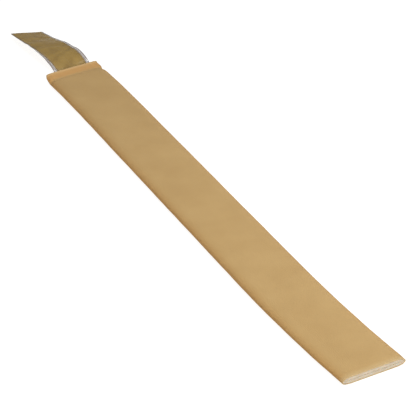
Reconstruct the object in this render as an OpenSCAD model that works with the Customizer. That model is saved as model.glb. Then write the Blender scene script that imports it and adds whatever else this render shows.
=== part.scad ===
// Gel-lined knitted tubular sleeve, lying flat, with a film-wrapped card strip in its channel.
// +X runs along the sleeve from the flared mouth to the cut end, +Y across it, +Z up.
// The origin is on the underside, at the middle of the sleeve's length and width.

/* [Sleeve] */
// Length of the sleeve along its centre line
sleeve_len = 305; // [220:5:400]
// Width of the tube lying flat
sleeve_w = 32.2; // [30:0.1:45]
// Thickness of the knitted cover
cover_t = 0.5; // [0.3:0.05:0.8]
// Thickness of the gel lining
lining_t = 1.25; // [0.8:0.05:2]
// Height of the channel between the two inner walls
channel_h = 0.7; // [0.6:0.05:1.5]
// Share of the width taken by each rounded side fold
fold_share = 0.15; // [0.1:0.01:0.25]

/* [Lie of the sleeve] */
// Length of the gentle bend at the cut end
near_bend_len = 87; // [40:1:100]
// Angle that the cut end turns towards +Y
near_bend_angle = 5.5; // [1:0.5:10]
// Length of the gentle bend at the flared mouth
far_bend_len = 42; // [20:1:60]
// Angle that the flared mouth turns towards -Y
far_bend_angle = 2.6; // [1:0.1:6]
// Skew of the flared mouth's cut
mouth_skew = 5.2; // [0:0.1:10]

/* [Flared lip] */
// Width of the upper wall's flared lip
lip_w = 31.2; // [24:0.1:32]
// How far the lip's middle sits towards -Y of the tube's middle
lip_shift = 1.2; // [0:0.1:2]
// Radius of the lip's concave upper face
lip_radius = 4; // [3:0.1:6]
// Angle that the lip turns up through
lip_angle = 58; // [30:1:70]

/* [Card strip] */
// Full length of the card strip
strip_len = 305; // [250:5:400]
// Width of the clear film
film_w = 19.4; // [12:0.1:22]
// Thickness of one film web
film_t = 0.05; // [0.03:0.01:0.1]
// Width of the card inside the film
card_w = 16.2; // [8:0.1:18]
// How far the card's middle sits towards -Y of the film's middle
card_shift = 0.4; // [0:0.1:0.7]
// Thickness of the card
card_t = 0.3; // [0.2:0.05:0.4]

/* [Hidden] */

// Tan knit, cream gel, brown card and clear film
cover_colour = [0.75, 0.62, 0.42];
lining_colour = [0.87, 0.80, 0.70];
card_colour = [0.56, 0.47, 0.30];
film_colour = [0.88, 0.88, 0.86];

wall_t = cover_t + lining_t;
sleeve_t = 2 * wall_t + channel_h;
fold_w = fold_share * sleeve_w;
// Steps round each side fold
fold_steps = 16;
// Length added past a cut so that the cut meets solid
overrun = 5;
clear = 60;
// How far the lip's root runs into the wall, and sinks below its faces
root_depth = 0.1;
root_sink = 0.03;
straight_len = sleeve_len - near_bend_len - far_bend_len;
near_bend_x = sleeve_len / 2 - near_bend_len;
far_bend_x = -sleeve_len / 2 + far_bend_len;
near_bend_r = near_bend_len / (near_bend_angle * PI / 180);
far_bend_r = far_bend_len / (far_bend_angle * PI / 180);
arc_fn = 360;

// The strip leaves the channel just inside the mouth, then follows stretches of
// [length, upward bend, twist], each bending and twisting evenly. Angles are in degrees.
exit_point = [-sleeve_len / 2 + 0.2, 0.7, sleeve_t / 2];
exit_turn = 4.5;
rise = [[4, -8, -4], [7, 42, -9]];
droop = [[12, -34, 9], [18, -10, 9.5], [21, 4, 4]];
// Straight length inside the mouth before the strip turns
lead_in = 4;
outside_len = sum([for (part = concat(rise, droop)) part[0]]);
// Spacing of the cross-sections along the strip, and the small steps taken between them
station_gap = 2;
fine_steps = 4;
// Half the gap left at the crease
crease_gap = 0.3;
// Width over which the film steps down beside the card
film_step = 0.15;

function sum(list, i = 0) = i >= len(list) ? 0 : list[i] + sum(list, i + 1);
function unit(v) = v / norm(v);

// Outline of a flattened tube: flat middle, half-ellipse folds at both sides.
function flat_tube_outline(width, thickness, fold) = [
    for (side = [1, -1])
        for (i = [0 : fold_steps])
            let (turn = 90 * (side > 0 ? -1 : 1) + 180 * i / fold_steps)
            [side * (width / 2 - fold) + fold * cos(turn), thickness / 2 * sin(turn)]
];

// Flattened ring between two depths below the tube's outer face.
module wall_section(outer_depth, inner_depth) {
    difference() {
        polygon(flat_tube_outline(
            sleeve_w - 2 * outer_depth, sleeve_t - 2 * outer_depth, fold_w - outer_depth));
        polygon(flat_tube_outline(
            sleeve_w - 2 * inner_depth, sleeve_t - 2 * inner_depth, fold_w - inner_depth));
    }
}

// Carries its children to the flared mouth: -X points out of it.
module at_mouth() {
    translate([far_bend_x, -far_bend_r, 0])
        rotate([0, 0, far_bend_angle])
            translate([0, far_bend_r, 0])
                rotate([0, 0, mouth_skew])
                    children();
}

// The bent tube wall between two depths, cut square at one end and skewed at the other.
module tube_wall(outer_depth, inner_depth) {
    translate([far_bend_x, 0, sleeve_t / 2])
        rotate([90, 0, 90])
            linear_extrude(straight_len)
                wall_section(outer_depth, inner_depth);
    translate([near_bend_x, near_bend_r, sleeve_t / 2])
        rotate([0, 0, -90])
            rotate_extrude(angle = near_bend_angle, $fn = arc_fn)
                translate([near_bend_r, 0])
                    wall_section(outer_depth, inner_depth);
    difference() {
        translate([far_bend_x, -far_bend_r, sleeve_t / 2])
            rotate([0, 0, 90])
                rotate_extrude(
                    angle = far_bend_angle * (1 + overrun / far_bend_len), $fn = arc_fn)
                    translate([far_bend_r, 0])
                        wall_section(outer_depth, inner_depth);
        at_mouth()
            translate([-clear, -clear / 2, -1])
                cube([clear, clear, sleeve_t + 2]);
    }
}

// The upper wall turns up at the mouth between two depths below its outer face.
module flared_lip(width, outer_depth, inner_depth) {
    at_mouth()
        translate([root_depth, width / 2 - lip_shift, sleeve_t + lip_radius - root_sink])
            rotate([90, 0, 0])
                rotate([0, 0, -90 - lip_angle])
                    linear_extrude(width)
                        intersection() {
                            difference() {
                                circle(r = lip_radius + inner_depth, $fn = arc_fn);
                                circle(r = lip_radius + outer_depth, $fn = arc_fn);
                            }
                            polygon([
                                [0, 0],
                                [2 * clear, 0],
                                [2 * clear * cos(lip_angle), 2 * clear * sin(lip_angle)]
                            ]);
                        }
}

// One small step along the strip. A station is [centre, tangent, across].
function advance(station, step, bend, twist) =
    let (
        normal = -cross(station[1], station[2]),
        tangent = unit(station[1] + bend * PI / 180 * normal),
        leaning = station[2] - twist * PI / 180 * normal,
        across = unit(leaning - (leaning * tangent) * tangent)
    )
    [station[0] + step * (station[1] + tangent) / 2, tangent, across];

// Several small steps, which together cover one gap between stations.
function advance_far(station, step, bend, twist, count = fine_steps) =
    count == 0 ? station
        : advance_far(
            advance(station, step / fine_steps, bend / fine_steps, twist / fine_steps),
            step, bend, twist, count - 1);

// Every station along a list of stretches, the first one included.
function stations(start, stretches) =
    let (
        steps = [
            for (part = stretches)
                let (count = ceil(part[0] / station_gap))
                for (i = [1 : count])
                    part / count
        ]
    )
    [
        for (
            i = 0, here = start;
            i <= len(steps);
            here = i < len(steps)
                ? advance_far(here, steps[i][0], steps[i][1], steps[i][2]) : here,
            i = i + 1
        )
            here
    ];

// A strip swept along stations. Its [across, up] cross-section runs along the underside and
// back along the upper side, point above point, so that each end closes with quads. All the
// strips' faces are split along the same diagonals, so that touching layers stay parallel.
module swept_strip(path, section) {
    count = len(section);
    last = len(path) - 1;
    end_quads = [
        for (i = [0 : count / 2 - 2])
            [i, i + 1, count - 2 - i, count - 1 - i]
    ];
    polyhedron(
        points = [
            for (station = path)
                let (up = -cross(station[1], station[2]))
                for (p = section)
                    station[0] + p[0] * station[2] + p[1] * up
        ],
        faces = concat(
            [for (quad = end_quads) [quad[3], quad[2], quad[1], quad[0]]],
            [
                for (s = [0 : last - 1])
                    for (i = [0 : count - 1])
                        let (
                            next = (i + 1) % count,
                            quad = [
                                s * count + i, s * count + next,
                                (s + 1) * count + next, (s + 1) * count + i
                            ],
                            turn = section[next][0] > section[i][0] ? 0 : 1
                        )
                        each [
                            [quad[turn], quad[turn + 1], quad[turn + 2]],
                            [quad[turn], quad[turn + 2], quad[(turn + 3) % 4]]
                        ]
            ],
            [for (quad = end_quads) [for (corner = quad) last * count + corner]]
        )
    );
}

// A station of the straight stretch inside the channel, a given way in from the exit.
function inside_station(depth) = [exit_point + [depth, 0, 0], [-1, 0, 0], [0, 1, 0]];
mouth_station = [
    exit_point, [-cos(exit_turn), -sin(exit_turn), 0], [-sin(exit_turn), cos(exit_turn), 0]
];
rise_path = stations(mouth_station, rise);
crease = rise_path[len(rise_path) - 1];
droop_path = stations(crease, droop);

// The paths stop short of the crease on both sides of it.
insert_path = concat(
    [inside_station(strip_len - outside_len), inside_station(lead_in)],
    [for (i = [0 : len(rise_path) - 2]) rise_path[i]],
    [[crease[0] - crease_gap * crease[1], crease[1], crease[2]]]
);
tab_path = concat(
    [[crease[0] + crease_gap * crease[1], crease[1], crease[2]]],
    [for (i = [1 : len(droop_path) - 1]) droop_path[i]]
);

card_low = -card_w / 2 - card_shift;
card_high = card_w / 2 - card_shift;
card_section = [
    [card_low, -card_t / 2], [card_high, -card_t / 2],
    [card_high, card_t / 2], [card_low, card_t / 2]
];

// One film web: flat over the card, stepping down to the seal at both margins.
function film_section(side) =
    let (
        foot_low = card_low - film_step,
        foot_high = card_high + film_step,
        under = [
            [-film_w / 2, 0], [foot_low, 0], [card_low, card_t / 2],
            [card_high, card_t / 2], [foot_high, 0], [film_w / 2, 0]
        ],
        over = [
            [film_w / 2, film_t], [foot_high + film_t, film_t],
            [card_high + film_t, card_t / 2 + film_t],
            [card_low - film_t, card_t / 2 + film_t],
            [foot_low - film_t, film_t], [-film_w / 2, film_t]
        ],
        upper = concat(under, over)
    )
    side > 0 ? upper : [for (i = [len(upper) - 1 : -1 : 0]) [upper[i][0], -upper[i][1]]];

module knit_cover() {
    color(cover_colour) {
        tube_wall(0, cover_t);
        flared_lip(lip_w, 0, cover_t);
    }
}

module gel_lining() {
    color(lining_colour) {
        tube_wall(cover_t, wall_t);
        flared_lip(lip_w - 2 * wall_t, cover_t, wall_t);
    }
}

module insert_card() {
    color(card_colour) swept_strip(insert_path, card_section);
}

module insert_film_upper() {
    color(film_colour) swept_strip(insert_path, film_section(1));
}

module insert_film_lower() {
    color(film_colour) swept_strip(insert_path, film_section(-1));
}

module tab_card() {
    color(card_colour) swept_strip(tab_path, card_section);
}

module tab_film_upper() {
    color(film_colour) swept_strip(tab_path, film_section(1));
}

module tab_film_lower() {
    color(film_colour) swept_strip(tab_path, film_section(-1));
}

knit_cover();
gel_lining();
insert_card();
insert_film_upper();
insert_film_lower();
tab_card();
tab_film_upper();
tab_film_lower();
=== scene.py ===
# The looks of a gel-lined knitted sleeve and of the film-wrapped card strip in its channel.
import math
import random

import bpy
import numpy as np
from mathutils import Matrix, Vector, noise


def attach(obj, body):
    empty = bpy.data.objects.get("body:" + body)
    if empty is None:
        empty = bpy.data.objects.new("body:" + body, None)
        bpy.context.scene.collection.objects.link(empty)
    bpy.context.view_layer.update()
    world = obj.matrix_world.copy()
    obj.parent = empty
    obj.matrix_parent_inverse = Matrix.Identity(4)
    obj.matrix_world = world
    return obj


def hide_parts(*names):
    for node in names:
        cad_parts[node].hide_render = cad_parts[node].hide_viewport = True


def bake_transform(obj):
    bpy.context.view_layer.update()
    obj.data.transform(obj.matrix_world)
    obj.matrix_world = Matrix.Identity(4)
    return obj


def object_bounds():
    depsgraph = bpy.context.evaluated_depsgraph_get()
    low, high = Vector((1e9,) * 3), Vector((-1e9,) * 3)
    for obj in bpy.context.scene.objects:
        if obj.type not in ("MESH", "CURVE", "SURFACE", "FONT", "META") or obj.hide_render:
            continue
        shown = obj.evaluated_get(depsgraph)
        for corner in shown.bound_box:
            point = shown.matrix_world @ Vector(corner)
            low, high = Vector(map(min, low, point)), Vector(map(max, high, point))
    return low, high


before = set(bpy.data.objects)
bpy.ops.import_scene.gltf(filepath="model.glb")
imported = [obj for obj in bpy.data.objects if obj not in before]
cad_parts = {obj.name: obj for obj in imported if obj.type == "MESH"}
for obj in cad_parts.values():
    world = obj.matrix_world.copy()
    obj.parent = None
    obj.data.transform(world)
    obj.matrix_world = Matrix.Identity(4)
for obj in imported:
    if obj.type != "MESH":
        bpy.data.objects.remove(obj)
cad_low, cad_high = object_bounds()

MM = 0.001

# ---------------------------------------------------------------- sizes shared with the CAD
SLEEVE_LEN = 305 * MM
SLEEVE_W = 32.2 * MM
FOLD_W = 0.15 * SLEEVE_W
KNIT_T = 0.5 * MM
NEAR_BEND_LEN = 87 * MM
NEAR_BEND_ANGLE = math.radians(5.5)
FAR_BEND_LEN = 42 * MM
FAR_BEND_ANGLE = math.radians(2.6)
MOUTH_SKEW = math.radians(5.2)
STRIP_LEN = 305 * MM
FILM_W = 19.4 * MM
FILM_T = 0.05 * MM
CARD_T = 0.3 * MM
EXIT_POINT = (-152.3 * MM, 0.7 * MM, 2.1 * MM)
EXIT_TURN = math.radians(4.5)
# Stretches of the strip outside the mouth: length in mm, upward bend and twist in degrees.
STRETCHES = [(4, -8, -4), (7, 42, -9), (12, -34, 9), (18, -10, 9.5), (21, 4, 4)]

# ---------------------------------------------------------------- soft shape of the sleeve
GEL_T = 1.4 * MM
WALL_T = KNIT_T + GEL_T
BOND_GAP = 0.02 * MM
# The channel is open over the strip and nearly closed beyond the strip's inner end.
GAP_OVER_STRIP = 0.46 * MM
GAP_CLOSED = 0.2 * MM
CLOSING_FROM = 250 * MM
CLOSING_TO = 280 * MM
CROWN = 0.12 * MM
# The upper wall's lip turns up sharply at its root, then curls a little more up to its rim.
LIP_RUN = 4.0 * MM
LIP_ROOT = 0.9 * MM
LIP_SLOPE = math.radians(25)
LIP_CURL = math.radians(16)
LIP_SCALE = 0.97
LIP_SHIFT = 1.2 * MM
# The skew of the mouth's cut fades away over this length.
SKEW_FADE = 25 * MM
# A valley runs across the upper wall behind the lip, and the +Y fold is pinched in there.
VALLEY_DEPTH = 0.4 * MM
VALLEY_AT = 0.5 * MM
VALLEY_LEN = 1.1 * MM
PINCH = 0.7 * MM
PINCH_AT = 1.0 * MM
PINCH_LEN = 2.4 * MM
# The soft walls swell this far past the cut, and the upper one is rounded down towards it.
CUT_SWELL = 0.4 * MM
SOFT_LEN = SLEEVE_LEN + CUT_SWELL
CUT_ROUND = 5 * MM
CUT_DROP = 0.25 * MM
# Slack in the cloth: shallow waves on top, and small puckers at the folds.
WAVE_HEIGHT = 0.07 * MM
LONG_WAVE = 38 * MM
SHORT_WAVE = 14 * MM
PUCKER_HEIGHT = 0.1 * MM
PUCKER_SIZE = 9 * MM
# Steps of the mesh round the tube and along it, with finer rings near both ends.
FLAT_STEPS = 26
FOLD_STEPS = 14
LIP_STEPS = 16
RING = 1.6 * MM
FINE_RING = 0.35 * MM
FINE_LEN = 4 * MM
# Yarn ends at the knit's cut edges. Lengths and depths are in millimetres.
YARNS_PER_STOP = 3
YARN_LENGTHS = (0.15, 0.42)
YARN_DEPTHS = (0.06, 0.44)
YARN_RADIUS = 0.03 * MM

# ---------------------------------------------------------------- soft shape of the strip
# Gaps between the card's edges and the film's, at the mouth and at the tip.
CARD_GAPS = {-1: (2.1 * MM, 0.45 * MM), 1: (1.8 * MM, 1.0 * MM)}
# The strip bows sideways in its own plane just outside the mouth.
BOW = 0.5 * MM
BOW_AT = 11 * MM
BOW_LEN = 9 * MM
# Soft creases across the card: place beyond the mouth, slant, width and depth.
CREASES = [
    (22 * MM, 0.35, 1.6 * MM, 0.22 * MM),
    (33 * MM, -0.5, 2.2 * MM, 0.18 * MM),
    (47 * MM, 0.25, 2.6 * MM, 0.16 * MM),
]
# The film steps down beside the card over this width, and runs on past the card's tip.
FILM_STEP = 0.2 * MM
FILM_OVERHANG = 0.3 * MM
# Half the gap between the two webs at a seal, and the gap between a web and the card.
SEAL_GAP = 0.004 * MM
CARD_CLEAR = 0.01 * MM


# ---------------------------------------------------------------- small helpers
def smooth(x):
    x = min(1.0, max(0.0, x))
    return x * x * (3 - 2 * x)


def bell(x, middle, width):
    return math.exp(-(((x - middle) / width) ** 2))


def wander(x, y, z, size):
    """Smooth noise between about -1 and 1, whose lumps are about size across."""
    return noise.noise(Vector((x / size, y / size, z / size)))


def mesh_piece(name, points, faces):
    mesh = bpy.data.meshes.new(name)
    mesh.from_pydata([tuple(p) for p in points], [], faces)
    mesh.validate()
    mesh.update()
    piece = bpy.data.objects.new(name, mesh)
    bpy.context.scene.collection.objects.link(piece)
    for polygon in mesh.polygons:
        polygon.use_smooth = True
    return piece


def point_values(piece, name, values):
    attribute = piece.data.attributes.new(name, "FLOAT", "POINT")
    attribute.data.foreach_set("value", np.array(values, np.float32))


def corner_uvs(piece, name, pairs):
    layer = piece.data.uv_layers.new(name=name)
    layer.data.foreach_set("uv", np.array(pairs, np.float32).ravel())


def looped_grid(rows, columns):
    """Faces of a grid that closes on itself both ways, like a torus."""
    faces = []
    for i in range(rows):
        for j in range(columns):
            here, along = i * columns, ((i + 1) % rows) * columns
            after = (j + 1) % columns
            faces.append((here + j, here + after, along + after, along + j))
    return faces


# ---------------------------------------------------------------- the sleeve's centre line
def sleeve_place(distance):
    """Centre and heading of the sleeve at a distance from its flared mouth."""
    near_r = NEAR_BEND_LEN / NEAR_BEND_ANGLE
    far_r = FAR_BEND_LEN / FAR_BEND_ANGLE
    far_x = -SLEEVE_LEN / 2 + FAR_BEND_LEN
    near_x = SLEEVE_LEN / 2 - NEAR_BEND_LEN
    if distance < FAR_BEND_LEN:
        turn = (FAR_BEND_LEN - distance) / far_r
        return far_x - far_r * math.sin(turn), far_r * (math.cos(turn) - 1), turn
    if distance > SLEEVE_LEN - NEAR_BEND_LEN:
        turn = (distance - SLEEVE_LEN + NEAR_BEND_LEN) / near_r
        return near_x + near_r * math.sin(turn), near_r * (1 - math.cos(turn)), turn
    return distance - SLEEVE_LEN / 2, 0.0, 0.0


def channel_gap(distance):
    closing = smooth((distance - CLOSING_FROM) / (CLOSING_TO - CLOSING_FROM))
    return GAP_OVER_STRIP + (GAP_CLOSED - GAP_OVER_STRIP) * closing


def section_angles():
    """Stops round the tube: (side, turn) on the folds, (level, share) on the flats."""
    stops = []
    for side in (1, -1):
        start = -90 if side > 0 else 90
        for i in range(FOLD_STEPS + 1):
            stops.append(("fold", side, math.radians(start + 180 * i / FOLD_STEPS)))
        for i in range(1, FLAT_STEPS):
            stops.append(("flat", side, 1 - 2 * i / FLAT_STEPS))
    return stops


STOPS = section_angles()


def section_point(stop, depth, gap, square):
    """Across and up, at a depth below the tube's outer face, before it is laid out.
    square, from 0 to 1, opens the upper half of the side folds into crisp corners."""
    thickness = 2 * WALL_T + gap
    fold = FOLD_W - min(depth, FOLD_W * 0.9)
    half_flat = SLEEVE_W / 2 - FOLD_W
    rise = thickness / 2 - depth
    kind, side, value = stop
    if kind == "fold":
        high = math.sin(value)
        power = 1 - 0.7 * square if high > 0 else 0.8
        reach = abs(math.cos(value)) ** (1 - 0.5 * square if high > 0 else 1)
        across = side * (half_flat + fold * reach)
        up = rise * math.copysign(abs(high) ** power, high)
    else:
        across = side * half_flat * value
        up = rise * side
    crown = CROWN * (1 - min(1, abs(across) / (SLEEVE_W / 2)) ** 2)
    if up > 0:
        up += crown * min(1, up / rise)
    return across, thickness / 2 + up


def flare_share(stop):
    """How much of the lip's flare a stop takes: all on top, none below."""
    kind, side, value = stop
    if kind == "flat":
        return 1.0 if side > 0 else 0.0
    return smooth((math.sin(value) + 0.35) / 0.45)


def lip_tilt(run, share):
    return share * (LIP_SLOPE * smooth(run / LIP_ROOT) + LIP_CURL * run / LIP_RUN)


def lip_curve(run, share, depth):
    """Way out and up at a run along the lip from its root, at a depth below its upper face."""
    out = rise = 0.0
    for i in range(LIP_STEPS):
        tilt = lip_tilt(run * (i + 0.5) / LIP_STEPS, share)
        out += run / LIP_STEPS * math.cos(tilt)
        rise += run / LIP_STEPS * math.sin(tilt)
    tilt = lip_tilt(run, share)
    return (out + depth * math.sin(tilt)) * (0.1 + 0.9 * share), rise + depth * (1 - math.cos(tilt))


def sleeve_point(distance, run, stop, depth):
    """A point of the soft wall. distance runs from the mouth, and run goes on along the lip."""
    gap = channel_gap(distance)
    across, up = section_point(stop, depth, gap, smooth(run / LIP_ROOT))
    share = flare_share(stop)
    out, rise = lip_curve(run, share, depth)
    lip = smooth(run / LIP_RUN)
    top_side = 1.0 if up > WALL_T + gap / 2 else 0.0
    up += rise
    # The mouth's edge is pulled towards -Y, and the tube is pinched just behind the lip.
    across = across * (1 - (1 - LIP_SCALE) * lip * share) - LIP_SHIFT * lip * share
    if across > 0:
        across -= PINCH * across / (SLEEVE_W / 2) * bell(distance, PINCH_AT, PINCH_LEN)
    outer = max(0.0, 1 - depth / WALL_T)
    up -= top_side * VALLEY_DEPTH * outer * bell(distance, VALLEY_AT, VALLEY_LEN) * (1 - lip)
    up -= top_side * CUT_DROP * smooth((distance - SOFT_LEN + CUT_ROUND) / CUT_ROUND) ** 2
    wave = wander(distance, across, 0.3, LONG_WAVE) + 0.5 * wander(distance, across, 2.7, SHORT_WAVE)
    if top_side:
        up += WAVE_HEIGHT * wave * outer
    sideways = abs(across) / (SLEEVE_W / 2)
    pucker = wander(distance, 5.0 * MM * np.sign(across), up, PUCKER_SIZE)
    across += np.sign(across) * PUCKER_HEIGHT * pucker * outer * smooth((sideways - 0.7) / 0.3)
    along = distance - out - math.tan(MOUTH_SKEW) * across * (1 - smooth(distance / SKEW_FADE))
    x, y, heading = sleeve_place(max(along, 0.0))
    spare = min(along, 0.0)
    x += spare * math.cos(heading) - across * math.sin(heading)
    y += spare * math.sin(heading) + across * math.cos(heading)
    return x, y, up


def sleeve_distances():
    """Rings along the sleeve, close together at both ends."""
    stops = [0.0]
    while stops[-1] < SOFT_LEN:
        here = stops[-1]
        to_end = min(here, SOFT_LEN - here)
        stops.append(here + (FINE_RING if to_end < FINE_LEN else RING))
    stops[-1] = SOFT_LEN
    return stops


def soft_shell(name, outer, inner, rim_bulge):
    """A closed shell of the sleeve's wall between two depths, with rounded rims."""
    runs = [LIP_RUN * (1 - i / LIP_STEPS) for i in range(LIP_STEPS)]
    distances = sleeve_distances()
    rows, rims, lips, lengths = [], [], [], []

    def add(distance, run, depth, rim_highlight, push=0.0):
        row = []
        _, _, heading = sleeve_place(distance)
        way = 1 if distance > SLEEVE_LEN / 2 else -1
        for stop in STOPS:
            x, y, z = sleeve_point(distance, run, stop, depth)
            tilt = lip_tilt(run, flare_share(stop))
            x += way * push * math.cos(heading) * math.cos(tilt)
            y += way * push * math.sin(heading) * math.cos(tilt)
            z += push * math.sin(tilt)
            row.append((x, y, z))
            lips.append(flare_share(stop) * smooth(run / LIP_ROOT))
        rows.append(row)
        rims.append(rim_highlight)
        lengths.append(distance - run)

    inset = 0.08 * (inner - outer)
    shares = (0.12, 0.3, 0.5, 0.7, 0.88)
    for run in runs:
        add(0.0, run, outer, 0.5 * smooth((run - LIP_RUN + 1.5 * MM) / (1.2 * MM)))
    for distance in distances:
        add(distance, 0.0, outer, 0.5 * smooth((distance - SOFT_LEN + 3 * MM) / (3 * MM)))
    for share in shares:
        add(SOFT_LEN, 0.0, outer + inset + (inner - outer - 2 * inset) * share, 1.0,
            rim_bulge * math.sin(math.pi * share))
    for distance in reversed(distances):
        add(distance, 0.0, inner, 0.0)
    for run in reversed(runs):
        add(0.0, run, inner, 0.0)
    for share in reversed(shares):
        add(0.0, LIP_RUN, outer + inset + (inner - outer - 2 * inset) * share, 1.0,
            rim_bulge * math.sin(math.pi * share))

    columns = len(STOPS)
    points = [p for row in rows for p in row]
    piece = mesh_piece(name, points, looped_grid(len(rows), columns))
    middle = rows[len(runs) + len(distances) // 2]
    around = [0.0]
    for a, b in zip(middle, middle[1:]):
        around.append(around[-1] + math.dist(a, b))
    girth = around[-1] + math.dist(middle[-1], middle[0])
    pairs = []
    for i in range(len(rows)):
        v0, v1 = lengths[i], lengths[(i + 1) % len(rows)]
        for j in range(columns):
            u0, u1 = around[j], around[j + 1] if j + 1 < columns else girth
            pairs += [(u0, v0), (u1, v0), (u1, v1), (u0, v1)]
    corner_uvs(piece, "cloth", pairs)
    # This mask marks the painted rim highlight: full on the cut faces, half on the outer face just
    # before each cut.
    point_values(piece, "rim_highlight", [r for r in rims for _ in range(columns)])
    # The fold mask marks where the knit is painted darker as shade, most at the outer middle of each
    # side fold.
    folds = [1 - abs(math.sin(s[2])) if s[0] == "fold" else 0.0 for s in STOPS]
    point_values(piece, "fold", folds * len(rows))
    # The lip mask marks where the knit takes its painted bounce-light tint: the upturned lip past its
    # root.
    point_values(piece, "lip", lips)
    return piece


# ---------------------------------------------------------------- the strip's centre line
def unit(v):
    return v / np.linalg.norm(v)


def strip_stations():
    """(centre, tangent, across, distance along the strip) from its inner end to its tip."""
    exit_point = np.array(EXIT_POINT)
    outside = sum(s[0] for s in STRETCHES) * MM
    inside = STRIP_LEN - outside
    stations = []
    for i in range(49):
        depth = inside + (0.5 * MM - inside) * i / 48
        centre = exit_point + np.array([depth, 0, 0])
        stations.append((centre, np.array([-1.0, 0, 0]), np.array([0, 1.0, 0]), inside - depth))
    centre = exit_point
    tangent = np.array([-math.cos(EXIT_TURN), -math.sin(EXIT_TURN), 0])
    across = np.array([-math.sin(EXIT_TURN), math.cos(EXIT_TURN), 0])
    distance = inside
    stations.append((centre, tangent, across, distance))
    for length, bend, twist in STRETCHES:
        steps = length * 2
        step = length * MM / steps
        for _ in range(steps):
            normal = -np.cross(tangent, across)
            turned = unit(tangent + math.radians(bend) / steps * normal)
            leaning = across - math.radians(twist) / steps * normal
            across = unit(leaning - leaning.dot(turned) * turned)
            centre = centre + step * (tangent + turned) / 2
            tangent = turned
            distance += step
            stations.append((centre, tangent, across, distance))
    return stations, inside


STATIONS, INSIDE = strip_stations()


def buckle(distance, across):
    """Height of the strip's small wrinkles, which die away inside the sleeve."""
    out = distance - INSIDE
    free = smooth((out - 8 * MM) / (14 * MM))
    broad = wander(distance, across * 1.4, 4.1, 17 * MM)
    creases = wander(distance, across * 0.6, 8.3, 6 * MM)
    height = 0.16 * MM * broad + 0.07 * MM * creases
    for place, slant, width, depth in CREASES:
        height -= depth * bell(out - slant * across, place, width)
    return free * height


def bow(distance):
    """How far the strip has bowed sideways in its own plane."""
    return BOW * bell(distance - INSIDE, BOW_AT, BOW_LEN)


def card_edge(side, distance):
    """Where the card's edge lies across the strip: the card sits a little askew in the film."""
    at_mouth, at_tip = CARD_GAPS[side]
    share = smooth((distance - INSIDE) / (STRIP_LEN - INSIDE) * (1.5 if side < 0 else 1.0))
    return side * (FILM_W / 2 - at_mouth + (at_mouth - at_tip) * share)


def strip_shell(name, section, extra):
    """A layer of the strip: section(distance) gives its (across, low, high) across its width."""
    chosen = list(STATIONS)
    if extra:
        centre, tangent, across, distance = chosen[-1]
        chosen.append((centre + extra * tangent, tangent, across, distance + extra))
    points, faces, pairs, seal = [], [], [], []
    loops = []
    for centre, tangent, across, distance in chosen:
        shape = section(distance)
        loop = [(a, low) for a, low, _ in shape] + [(a, high) for a, _, high in reversed(shape)]
        loops.append(loop)
        normal = -np.cross(tangent, across)
        for side, up in loop:
            height = up + buckle(distance, side)
            points.append(centre + (side + bow(distance)) * across + height * normal)
            beyond = abs(side) - abs(card_edge(1 if side > 0 else -1, distance))
            seal.append(smooth((beyond + 0.1 * MM) / (0.3 * MM)))
    count = len(loops[0])
    for i in range(len(chosen) - 1):
        for j in range(count):
            after = (j + 1) % count
            here, along = i * count, (i + 1) * count
            faces.append((here + j, here + after, along + after, along + j))
            v0, v1 = chosen[i][3], chosen[i + 1][3]
            low, high = loops[i], loops[i + 1]
            pairs += [(low[j][0], v0), (low[after][0], v0), (high[after][0], v1), (high[j][0], v1)]
    half = count // 2
    for row, flip in ((0, True), (len(chosen) - 1, False)):
        for j in range(half - 1):
            quad = [j, j + 1, count - 2 - j, count - 1 - j]
            if flip:
                quad.reverse()
            faces.append(tuple(row * count + q for q in quad))
            pairs += [(loops[row][q][0], chosen[row][3]) for q in quad]
    piece = mesh_piece(name, points, faces)
    corner_uvs(piece, "cloth", pairs)
    point_values(piece, "seal", seal)
    return piece


def card_layers(distance):
    steps = 20
    low, high = card_edge(-1, distance), card_edge(1, distance)
    places = [low + (high - low) * i / steps for i in range(steps + 1)]
    return [(place, -CARD_T / 2, CARD_T / 2) for place in places]


def film_layers(side):
    """One web: over the card, then stepping down to the seal at both margins."""
    def layers(distance):
        low, high = card_edge(-1, distance), card_edge(1, distance)
        low_foot, high_foot = low - FILM_STEP, high + FILM_STEP
        half = FILM_W / 2
        places = [-half + (low_foot + half) * i / 4 for i in range(5)]
        places += [low + (high - low) * i / 16 for i in range(17)]
        places += [high_foot + (half - high_foot) * i / 4 for i in range(5)]
        rows = []
        for place in places:
            over_card = low - 1e-9 <= place <= high + 1e-9
            rest = CARD_T / 2 + CARD_CLEAR if over_card else SEAL_GAP
            near, far = rest, rest + FILM_T
            rows.append((place, near, far) if side > 0 else (place, -far, -near))
        return rows
    return layers


# ---------------------------------------------------------------- materials
def new_material(name):
    material = bpy.data.materials.new(name)
    material.use_nodes = True
    nodes = material.node_tree.nodes
    return material, nodes, material.node_tree.links, nodes["Principled BSDF"]


def math_node(nodes, links, operation, *inputs):
    node = nodes.new("ShaderNodeMath")
    node.operation = operation
    for i, value in enumerate(inputs):
        if isinstance(value, (int, float)):
            node.inputs[i].default_value = value
        else:
            links.new(value, node.inputs[i])
    return node.outputs[0]


def noise_value(nodes, links, vector, scale, detail=2.0, roughness=0.5):
    node = nodes.new("ShaderNodeTexNoise")
    node.inputs["Scale"].default_value = scale
    node.inputs["Detail"].default_value = detail
    node.inputs["Roughness"].default_value = roughness
    links.new(vector, node.inputs["Vector"])
    return node.outputs["Fac"]


def ramp(nodes, links, value, stops):
    node = nodes.new("ShaderNodeValToRGB")
    ends = node.color_ramp.elements
    while len(ends) < len(stops):
        ends.new(0.5)
    for end, (position, colour) in zip(ends, stops):
        end.position = position
        end.color = (*colour, 1)
    links.new(value, node.inputs["Fac"])
    return node.outputs["Color"]


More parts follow.
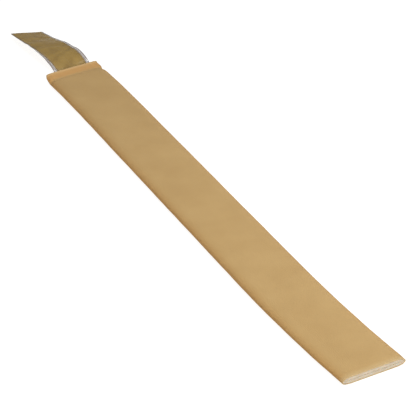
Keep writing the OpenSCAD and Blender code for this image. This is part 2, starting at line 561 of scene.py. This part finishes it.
def tinted(nodes, links, share, base, tint):
    """The base colour, mixed by share with a plain tint."""
    node = nodes.new("ShaderNodeMix")
    node.data_type = "RGBA"
    links.new(share, node.inputs["Factor"])
    links.new(base, node.inputs[6])
    node.inputs[7].default_value = (*tint, 1)
    return node.outputs[2]


def attribute_value(nodes, name):
    node = nodes.new("ShaderNodeAttribute")
    node.attribute_name = name
    return node.outputs["Fac"]


def cloth_coordinates(nodes, links):
    """Metres round the cloth and along it."""
    uv = nodes.new("ShaderNodeUVMap")
    uv.uv_map = "cloth"
    parts = nodes.new("ShaderNodeSeparateXYZ")
    links.new(uv.outputs["UV"], parts.inputs[0])
    return uv.outputs["UV"], parts.outputs["X"], parts.outputs["Y"]


def bump_node(nodes, links, height, distance, strength=1.0, below=None):
    node = nodes.new("ShaderNodeBump")
    node.inputs["Strength"].default_value = strength
    node.inputs["Distance"].default_value = distance
    links.new(height, node.inputs["Height"])
    if below is not None:
        links.new(below, node.inputs["Normal"])
    return node.outputs["Normal"]


def knit_stitches(nodes, links, around, along, wale=0.62 * MM, course=0.46 * MM):
    """Height of a plain knit: columns of V stitches, from 0 between columns to 1."""
    column = math_node(nodes, links, "DIVIDE", around, wale)
    offset = math_node(nodes, links, "SUBTRACT", math_node(nodes, links, "FRACT", column), 0.5)
    lean = math_node(nodes, links, "MULTIPLY", math_node(nodes, links, "ABSOLUTE", offset), 1.3)
    row = math_node(nodes, links, "DIVIDE", along, course)
    turn = math_node(nodes, links, "MULTIPLY", math_node(nodes, links, "ADD", row, lean), math.tau)
    strand = math_node(nodes, links, "MULTIPLY_ADD", math_node(nodes, links, "COSINE", turn), 0.5, 0.5)
    arch = math_node(nodes, links, "COSINE", math_node(nodes, links, "MULTIPLY", offset, math.pi))
    return math_node(nodes, links, "MULTIPLY", strand, arch)


def knit_material():
    material, nodes, links, shader = new_material("tan_knit")
    uv, around, along = cloth_coordinates(nodes, links)
    stitches = knit_stitches(nodes, links, around, along)
    cloudy = noise_value(nodes, links, uv, 55, 3)
    fuzz = noise_value(nodes, links, uv, 5200, 2)
    base = ramp(nodes, links, cloudy, [(0.3, (0.505, 0.332, 0.138)), (0.7, (0.553, 0.373, 0.161))])
    # Painted shade: the knit is darkened towards a deep brown between its stitches, as shade in the
    # knit's recesses.
    stitch_shade = math_node(nodes, links, "MULTIPLY_ADD", stitches, -0.22, 0.22)
    base = tinted(nodes, links, stitch_shade, base, (0.34, 0.19, 0.062))
    # Painted shade: the side folds are darkened to a deeper orange, as shade on the sides that turn
    # away from the light.
    fold_shade = math_node(nodes, links, "MULTIPLY", attribute_value(nodes, "fold"), 0.9)
    base = tinted(nodes, links, fold_shade, base, (0.47, 0.242, 0.066))
    # Painted bounce light: the upturned lip is tinted a more saturated orange, as light bounced
    # between the lip and the upper wall.
    turned = math_node(nodes, links, "MULTIPLY", attribute_value(nodes, "lip"), 0.6)
    base = tinted(nodes, links, turned, base, (0.475, 0.25, 0.088))
    # Painted highlight: the knit is lightened to a pale yellow-tan on its cut faces and over the last
    # millimetres before each cut.
    rim_highlight = math_node(nodes, links, "MULTIPLY", attribute_value(nodes, "rim_highlight"), 0.8)
    base = tinted(nodes, links, rim_highlight, base, (0.60, 0.455, 0.245))
    links.new(base, shader.inputs["Base Color"])
    height = math_node(nodes, links, "MULTIPLY_ADD", fuzz, 0.35, stitches)
    links.new(bump_node(nodes, links, height, 0.09 * MM), shader.inputs["Normal"])
    shader.inputs["Roughness"].default_value = 0.92
    shader.inputs["Specular IOR Level"].default_value = 0.2
    shader.inputs["Sheen Weight"].default_value = 0.08
    shader.inputs["Sheen Roughness"].default_value = 0.4
    return material


def gel_material():
    material, nodes, links, shader = new_material("cream_gel")
    uv, _, _ = cloth_coordinates(nodes, links)
    cloudy = noise_value(nodes, links, uv, 260, 3)
    base = ramp(nodes, links, cloudy, [(0.3, (0.50, 0.405, 0.285)), (0.7, (0.58, 0.485, 0.36))])
    links.new(base, shader.inputs["Base Color"])
    pores = noise_value(nodes, links, uv, 2600, 3)
    links.new(bump_node(nodes, links, pores, 0.06 * MM, 0.6), shader.inputs["Normal"])
    shader.inputs["Roughness"].default_value = 0.42
    shader.inputs["Subsurface Weight"].default_value = 0.35
    shader.inputs["Subsurface Radius"].default_value = (1.0, 0.6, 0.35)
    shader.inputs["Subsurface Scale"].default_value = 0.8 * MM
    return material


def card_material():
    material, nodes, links, shader = new_material("kraft_card")
    uv, _, _ = cloth_coordinates(nodes, links)
    stretch = nodes.new("ShaderNodeMapping")
    stretch.inputs["Scale"].default_value = (1, 0.3, 1)
    links.new(uv, stretch.inputs["Vector"])
    fibres = noise_value(nodes, links, stretch.outputs["Vector"], 2400, 4, 0.65)
    blotches = noise_value(nodes, links, uv, 170, 4, 0.6)
    base = ramp(nodes, links, blotches, [
        (0.28, (0.250, 0.155, 0.040)), (0.5, (0.320, 0.208, 0.055)), (0.75, (0.385, 0.250, 0.066))])
    flecks = math_node(nodes, links, "MULTIPLY_ADD", fibres, 0.5, -0.1)
    base = tinted(nodes, links, flecks, base, (0.22, 0.145, 0.043))
    links.new(base, shader.inputs["Base Color"])
    creases = noise_value(nodes, links, uv, 240, 5, 0.7)
    height = math_node(nodes, links, "MULTIPLY_ADD", fibres, 0.15, creases)
    links.new(bump_node(nodes, links, height, 0.35 * MM, 0.7), shader.inputs["Normal"])
    shader.inputs["Roughness"].default_value = 0.75
    shader.inputs["Specular IOR Level"].default_value = 0.3
    cling = noise_value(nodes, links, uv, 150, 1, 0.4)
    links.new(bump_node(nodes, links, cling, 0.4 * MM, 0.6), shader.inputs["Coat Normal"])
    shader.inputs["Coat Weight"].default_value = 0.2
    shader.inputs["Coat Roughness"].default_value = 0.25
    return material


def film_material():
    """Clear film: nearly invisible on the card, hazy along its sealed margins, where painted glints
    and painted shadow run in streaks through its colour.
    """
    material, nodes, links, shader = new_material("clear_film")
    uv, _, _ = cloth_coordinates(nodes, links)
    streaks = nodes.new("ShaderNodeMapping")
    streaks.inputs["Scale"].default_value = (5, 0.22, 1)
    links.new(uv, streaks.inputs["Vector"])
    haze_and_glints = noise_value(nodes, links, streaks.outputs["Vector"], 330, 2, 0.5)
    seal = attribute_value(nodes, "seal")
    hazy = math_node(nodes, links, "MULTIPLY_ADD", haze_and_glints, 0.45, 0.18)
    extra = math_node(nodes, links, "MULTIPLY", seal, hazy)
    alpha = math_node(nodes, links, "ADD", extra, 0.012)
    links.new(alpha, shader.inputs["Alpha"])
    # Painted reflection and shadow: the film's colour runs in streaks from a dark brown-mauve shadow
    # to a pale grey glint, showing mostly on the hazy margins.
    tint = ramp(nodes, links, haze_and_glints, [(0.42, (0.20, 0.14, 0.125)), (0.60, (0.56, 0.53, 0.51))])
    links.new(tint, shader.inputs["Base Color"])
    ripples = noise_value(nodes, links, uv, 420, 2, 0.5)
    links.new(bump_node(nodes, links, ripples, 0.2 * MM, 0.45), shader.inputs["Normal"])
    shader.inputs["Roughness"].default_value = 0.16
    shader.inputs["IOR"].default_value = 1.5
    return material


def floor_material():
    material, nodes, links, shader = new_material("pale_floor")
    shader.inputs["Base Color"].default_value = (0.25, 0.25, 0.25, 1)
    shader.inputs["Roughness"].default_value = 0.9
    shader.inputs["Specular IOR Level"].default_value = 0.0
    shader.inputs["Emission Color"].default_value = (1, 1, 1, 1)
    shader.inputs["Emission Strength"].default_value = 0.91
    return material


# ---------------------------------------------------------------- the pieces
def knit_cover(material):
    piece = soft_shell("knit_cover_soft", 0.0, KNIT_T, 0.04 * MM)
    piece.data.materials.append(material)
    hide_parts("knit_cover")
    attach(piece, "sleeve")


def gel_lining(material):
    piece = soft_shell("gel_lining_soft", KNIT_T + BOND_GAP, WALL_T, 0.1 * MM)
    piece.data.materials.append(material)
    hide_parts("gel_lining")
    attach(piece, "sleeve")


def cut_yarns(material):
    """Short ends and loops of yarn that stand out of the knit's cut edges."""
    chance = random.Random(11)
    points, faces = [], []

    def yarn(root, way, side, length, radius):
        steps, sides = 5, 4
        upward = np.array([0, 0, 1.0])
        curl = chance.uniform(-0.9, 0.9)
        droop = chance.uniform(-0.5, 0.5)
        first = len(points)
        for i in range(steps + 1):
            t = i / steps
            centre = root + length * (t * way + 0.5 * curl * t * t * side)
            centre = centre + np.array([0, 0, length * 0.5 * droop * t * t])
            thin = radius * (1 - 0.6 * t)
            for k in range(sides):
                turn = math.tau * k / sides
                points.append(centre + thin * (math.cos(turn) * side + math.sin(turn) * upward))
        for i in range(steps):
            for k in range(sides):
                after = (k + 1) % sides
                a, b = first + i * sides, first + (i + 1) * sides
                faces.append((a + k, a + after, b + after, b + k))
        faces.append(tuple(first + k for k in reversed(range(sides))))
        faces.append(tuple(first + steps * sides + k for k in range(sides)))

    for distance, run, way_sign in ((SOFT_LEN, 0.0, 1), (0.0, LIP_RUN, -1)):
        _, _, heading = sleeve_place(distance)
        side = np.array([-math.sin(heading), math.cos(heading), 0])
        for j in range(len(STOPS)):
            here, after = STOPS[j], STOPS[(j + 1) % len(STOPS)]
            for _ in range(YARNS_PER_STOP):
                depth = chance.uniform(*YARN_DEPTHS) * MM
                a = np.array(sleeve_point(distance, run, here, depth))
                b = np.array(sleeve_point(distance, run, after, depth))
                root = a + (b - a) * chance.random()
                tilt = lip_tilt(run, flare_share(here))
                way = way_sign * np.array([
                    math.cos(heading) * math.cos(tilt),
                    math.sin(heading) * math.cos(tilt),
                    0,
                ])
                way[2] = math.sin(tilt)
                yarn(root, way, side, chance.uniform(*YARN_LENGTHS) * MM, YARN_RADIUS)
    piece = mesh_piece("cut_yarns", points, faces)
    corner_uvs(piece, "cloth", [(0.0, 0.0)] * sum(len(f) for f in faces))
    # The yarn ends take the full painted rim highlight, and no painted fold shade or lip bounce light.
    point_values(piece, "rim_highlight", [1.0] * len(points))
    point_values(piece, "fold", [0.0] * len(points))
    point_values(piece, "lip", [0.0] * len(points))
    piece.data.materials.append(material)
    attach(piece, "sleeve")


def strip_piece(name, section, material, nodes, extra=0.0):
    """One layer of the strip, which bends smoothly across the tab's crease."""
    piece = strip_shell(name, section, extra)
    piece.data.materials.append(material)
    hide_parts(*nodes)
    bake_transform(piece)


knit = knit_material()
gel = gel_material()
card = card_material()
film = film_material()

knit_cover(knit)
gel_lining(gel)
cut_yarns(knit)
strip_piece("card_strip", card_layers, card, ("insert_card", "tab_card"))
strip_piece("film_web_upper", film_layers(1), film,
            ("insert_film_upper", "tab_film_upper"), FILM_OVERHANG)
strip_piece("film_web_lower", film_layers(-1), film,
            ("insert_film_lower", "tab_film_lower"), FILM_OVERHANG)


# ---------------------------------------------------------------- floor, light and camera
def add_floor():
    bpy.ops.mesh.primitive_plane_add(size=12, location=(0, 0, cad_low.z))
    floor = bpy.context.object
    floor.name = "floor"
    floor.data.materials.append(floor_material())


def add_world(strength, colour):
    world = bpy.data.worlds.new("soft_surround")
    world.use_nodes = True
    background = world.node_tree.nodes["Background"]
    background.inputs["Color"].default_value = (*colour, 1)
    background.inputs["Strength"].default_value = strength
    bpy.context.scene.world = world


def add_softbox(name, place, target, size, power):
    light = bpy.data.lights.new(name, "AREA")
    light.shape = "DISK"
    light.size = size
    light.energy = power
    box = bpy.data.objects.new(name, light)
    bpy.context.scene.collection.objects.link(box)
    box.location = place
    aim = Vector(target) - Vector(place)
    box.rotation_mode = "QUATERNION"
    box.rotation_quaternion = aim.to_track_quat("-Z", "Y")


def add_camera():
    """Three-quarter view from above the cut end, at the reference's angle and distance."""
    azimuth, elevation = math.radians(64.23), math.radians(30.02)
    distance = 1.0329
    target = Vector((-2.23 * MM, 2.49 * MM, 0))
    back = Vector((
        math.sin(azimuth) * math.cos(elevation),
        -math.cos(azimuth) * math.cos(elevation),
        math.sin(elevation),
    ))
    data = bpy.data.cameras.new("camera")
    data.sensor_width = 36
    data.lens = 190.15
    camera = bpy.data.objects.new("camera", data)
    bpy.context.scene.collection.objects.link(camera)
    camera.location = target + back * distance
    camera.rotation_mode = "QUATERNION"
    camera.rotation_quaternion = (-back).to_track_quat("-Z", "Y")
    bpy.context.scene.camera = camera


add_floor()
add_world(0.36, (1, 0.975, 0.93))
add_softbox("key", (1.25, 0.15, 0.72), (0, 0, 0), 0.5, 9.5)
add_softbox("top", (0.11, 0.08, 0.5), (0.08, 0, 0), 0.3, 1.6)
add_camera()
bpy.context.scene.view_settings.view_transform = "Standard"
